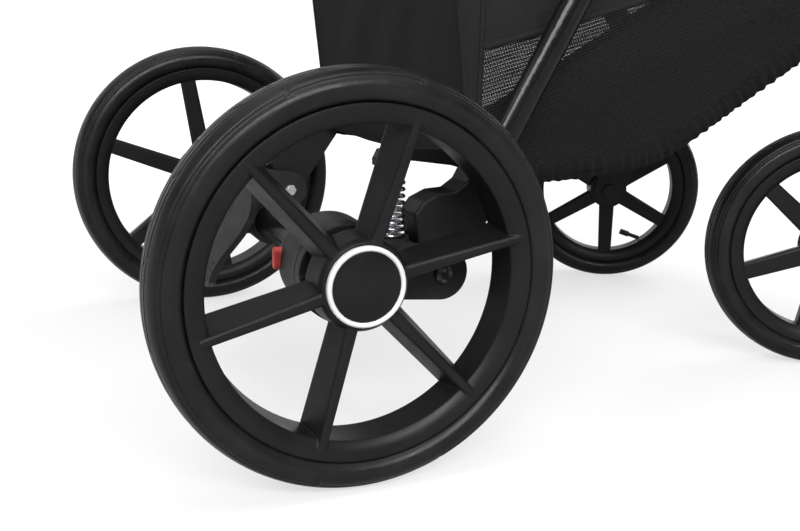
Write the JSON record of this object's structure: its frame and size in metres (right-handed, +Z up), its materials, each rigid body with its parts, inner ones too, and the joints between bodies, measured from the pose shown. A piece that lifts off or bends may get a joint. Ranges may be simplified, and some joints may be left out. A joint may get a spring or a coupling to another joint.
{
  "type": "baby stroller",
  "caption": "Four-wheeled black baby stroller with sprung rear wheels, swivelling front wheels, a hanging mesh basket, a folding handle and a hooded seat.",
  "frame": {"origin": "on the floor, under the middle of the footprint", "axes": "+X to the child's left, +Y to the rear, towards the handle, +Z up"},
  "size_m": [0.5728, 0.8022, 1.0752],
  "materials": {
    "tyre_rubber": "matte black rubber",
    "black_plastic": "satin black moulded plastic",
    "grey_plastic": "dark grey moulded plastic",
    "gloss_black": "gloss black plastic",
    "frame_paint": "black painted aluminium tube",
    "steel": "plain steel",
    "silver_trim": "silver ring",
    "spring_steel": "bright plated spring wire",
    "red_plastic": "red plastic",
    "grip_leather": "black stitched cover",
    "basket_cloth": "black woven fabric and mesh",
    "seat_cloth": "charcoal quilted fabric",
    "hood_cloth": "black woven fabric"
  },
  "bodies": {
    "front_frame": {"front_leg_left": "frame_paint", "front_leg_right": "frame_paint", "fold_housing_left": "black_plastic", "fold_housing_right": "black_plastic", "caster_socket_left": "black_plastic", "caster_socket_right": "black_plastic", "fold_pins": "gloss_black", "front_crossbar": "frame_paint", "basket": "basket_cloth", "seat_base": "black_plastic", "seat_pad": "seat_cloth"},
    "rear_frame": {"rear_leg_left": "frame_paint", "rear_leg_right": "frame_paint", "leg_bracket_left": "black_plastic", "leg_bracket_right": "black_plastic", "pivot_bolts": "steel"},
    "axle_unit": {"swing_arm_left": "grey_plastic", "swing_arm_right": "grey_plastic", "spring_left": "spring_steel", "spring_right": "spring_steel", "rear_axle_tube": "grey_plastic", "stub_axles": "steel"},
    "brake": {"brake_pedal": "grey_plastic"},
    "handle": {"handle_tube_left": "frame_paint", "handle_tube_right": "frame_paint", "handle_grip": "grip_leather"},
    "backrest": {"backrest_frame": "black_plastic", "backrest_pad": "seat_cloth", "canopy_rear": "hood_cloth"},
    "canopy": {"canopy_front": "hood_cloth"},
    "footrest": {"footrest": "black_plastic", "footrest_pad": "seat_cloth"},
    "bumper": {"bumper_bar": "grip_leather"},
    "brake_pin_left": {"brake_pin_left": "steel"},
    "release_button_left": {"release_button_left": "red_plastic"},
    "rear_wheel_left": {"rear_tyre_left": "tyre_rubber", "rear_rim_left": "black_plastic", "rear_hub_ring_left": "silver_trim", "rear_hub_cap_left": "gloss_black"},
    "caster_left": {"caster_fork_left": "black_plastic", "front_axle_left": "steel"},
    "front_wheel_left": {"front_tyre_left": "tyre_rubber", "front_rim_left": "black_plastic", "front_valve_left": "black_plastic"},
    "swivel_lock_left": {"swivel_lock_left": "grey_plastic"},
    "fold_trigger_left": {"fold_trigger_left": "black_plastic"},
    "brake_pin_right": {"brake_pin_right": "steel"},
    "release_button_right": {"release_button_right": "red_plastic"},
    "rear_wheel_right": {"rear_tyre_right": "tyre_rubber", "rear_rim_right": "black_plastic", "rear_hub_ring_right": "silver_trim", "rear_hub_cap_right": "gloss_black"},
    "caster_right": {"caster_fork_right": "black_plastic", "front_axle_right": "steel"},
    "front_wheel_right": {"front_tyre_right": "tyre_rubber", "front_rim_right": "black_plastic", "front_valve_right": "black_plastic"},
    "swivel_lock_right": {"swivel_lock_right": "grey_plastic"},
    "fold_trigger_right": {"fold_trigger_right": "black_plastic"}
  },
  "joints": [
    {"name": "handle_fold", "type": "hinge", "parent": "front_frame", "child": "handle", "pos_m": [0, -0.08688, 0.6], "axis": [1, 0, 0], "range_deg": [0, 150]},
    {"name": "rear_leg_fold", "type": "hinge", "parent": "front_frame", "child": "rear_frame", "pos_m": [0, -0.08688, 0.6], "axis": [1, 0, 0], "range_deg": [-26, 0]},
    {"name": "rear_suspension", "type": "hinge", "parent": "rear_frame", "child": "axle_unit", "pos_m": [0, 0.16912, 0.142], "axis": [1, 0, 0], "range_deg": [-4, 4], "stiffness_Nm_per_rad": 500, "springref_deg": -0.69, "deforming": ["spring_left", "spring_right"]},
    {"name": "brake_pedal", "type": "hinge", "parent": "axle_unit", "child": "brake", "pos_m": [0, 0.25012, 0.15], "axis": [1, 0, 0], "range_deg": [-14, 0]},
    {"name": "backrest_recline", "type": "hinge", "parent": "front_frame", "child": "backrest", "pos_m": [0, 0.03812, 0.56], "axis": [1, 0, 0], "range_deg": [-45, 0]},
    {"name": "canopy_fold", "type": "hinge", "parent": "backrest", "child": "canopy", "pos_m": [0, 0.11053, 0.85725], "axis": [1, 0, 0], "range_deg": [-70, 0]},
    {"name": "footrest_tilt", "type": "hinge", "parent": "front_frame", "child": "footrest", "pos_m": [0, -0.20188, 0.552], "axis": [1, 0, 0], "range_deg": [-40, 0]},
    {"name": "bumper_swing", "type": "hinge", "parent": "front_frame", "child": "bumper", "pos_m": [0.17, -0.09488, 0.662], "axis": [0, 0, 1], "range_deg": [0, 90]},
    {"name": "brake_pin_left", "type": "slide", "parent": "axle_unit", "child": "brake_pin_left", "axis": [1, 0, 0], "range_m": [0, 0.008]},
    {"name": "release_button_left", "type": "slide", "parent": "axle_unit", "child": "release_button_left", "axis": [0, -1, 0], "range_m": [0, 0.003], "stiffness_N_per_m": 300, "springref_m": -0.001},
    {"name": "rear_wheel_left", "type": "hinge", "parent": "axle_unit", "child": "rear_wheel_left", "pos_m": [0.2623, 0.25012, 0.15], "axis": [1, 0, 0], "continuous": true},
    {"name": "caster_swivel_left", "type": "hinge", "parent": "front_frame", "child": "caster_left", "pos_m": [0.192, -0.32528, 0.275], "axis": [0, 0, 1], "continuous": true},
    {"name": "front_wheel_left", "type": "hinge", "parent": "caster_left", "child": "front_wheel_left", "pos_m": [0.21105, -0.29091, 0.122], "axis": [0.8746, -0.4848, 0], "continuous": true},
    {"name": "swivel_lock_left", "type": "hinge", "parent": "front_frame", "child": "swivel_lock_left", "pos_m": [0.192, -0.35728, 0.33], "axis": [1, 0, 0], "range_deg": [-30, 0]},
    {"name": "fold_trigger_left", "type": "slide", "parent": "handle", "child": "fold_trigger_left", "axis": [0, 0.7137, 0.7004], "range_m": [0, 0.012], "stiffness_N_per_m": 400, "springref_m": -0.003},
    {"name": "brake_pin_right", "type": "slide", "parent": "axle_unit", "child": "brake_pin_right", "axis": [-1, 0, 0], "range_m": [0, 0.008]},
    {"name": "release_button_right", "type": "slide", "parent": "axle_unit", "child": "release_button_right", "axis": [0, -1, 0], "range_m": [0, 0.003], "stiffness_N_per_m": 300, "springref_m": -0.001},
    {"name": "rear_wheel_right", "type": "hinge", "parent": "axle_unit", "child": "rear_wheel_right", "pos_m": [-0.2623, 0.25012, 0.15], "axis": [1, 0, 0], "continuous": true},
    {"name": "caster_swivel_right", "type": "hinge", "parent": "front_frame", "child": "caster_right", "pos_m": [-0.192, -0.32528, 0.275], "axis": [0, 0, 1], "continuous": true},
    {"name": "front_wheel_right", "type": "hinge", "parent": "caster_right", "child": "front_wheel_right", "pos_m": [-0.17295, -0.29091, 0.122], "axis": [0.8746, -0.4848, 0], "continuous": true},
    {"name": "swivel_lock_right", "type": "hinge", "parent": "front_frame", "child": "swivel_lock_right", "pos_m": [-0.192, -0.35728, 0.33], "axis": [1, 0, 0], "range_deg": [-30, 0]},
    {"name": "fold_trigger_right", "type": "slide", "parent": "handle", "child": "fold_trigger_right", "axis": [0, 0.7137, 0.7004], "range_m": [0, 0.012], "stiffness_N_per_m": 400, "springref_m": -0.003}
  ],
  "couplings": [
    {"joint": "rear_leg_fold", "follows": "handle_fold", "ratio": -0.17333},
    {"joint": "brake_pin_left", "follows": "brake_pedal", "m_per_rad": -0.03274},
    {"joint": "brake_pin_right", "follows": "brake_pedal", "m_per_rad": -0.03274}
  ]
}
